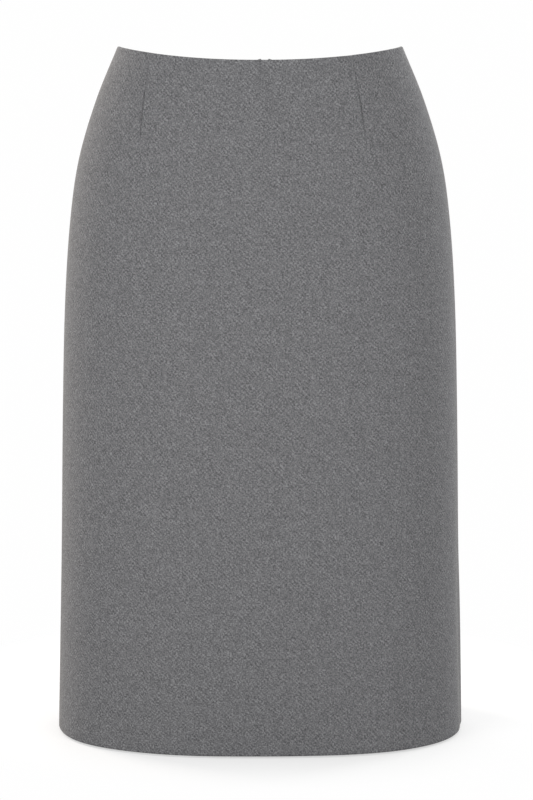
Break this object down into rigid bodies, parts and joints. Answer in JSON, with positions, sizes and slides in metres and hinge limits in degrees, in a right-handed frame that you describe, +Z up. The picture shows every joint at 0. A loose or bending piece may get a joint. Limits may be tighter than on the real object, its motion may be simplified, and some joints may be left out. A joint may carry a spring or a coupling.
{
  "type": "a-line skirt",
  "caption": "Knee-length grey flannel skirt, filled out as worn: darted front and backs, plain hem, bare waist edge and a concealed zip at centre back.",
  "frame": {"origin": "middle of the waist opening, level with the tops of the side seams, where the wearer's waist holds the skirt", "axes": "+Z up, out of the waist; -Y to the front; +X to the wearer's left"},
  "size_m": [0.3594, 0.2476, 0.6021],
  "materials": {
    "flannel": "mid grey melange wool flannel with a faint twill and a short matt nap",
    "zip_tape": "woven polyester tape in dark grey",
    "zip_teeth": "dark grey nylon coil",
    "zip_metal": "die-cast zinc painted mid grey, half gloss"
  },
  "bodies": {
    "skirt": {"front_panel": "flannel", "back_panel_left": "flannel", "back_panel_right": "flannel", "zip_tape_left": "zip_tape", "zip_tape_right": "zip_tape", "zip_chain": "zip_teeth", "zip_slider": "zip_metal"},
    "pull_tab": {"zip_pull": "zip_metal"}
  },
  "joints": [
    {"name": "pull_tab_swing", "type": "hinge", "parent": "skirt", "child": "pull_tab", "pos_m": [0.00406, 0.10089, -0.02106], "axis": [1, 0, 0], "range_deg": [0, 160]}
  ]
}
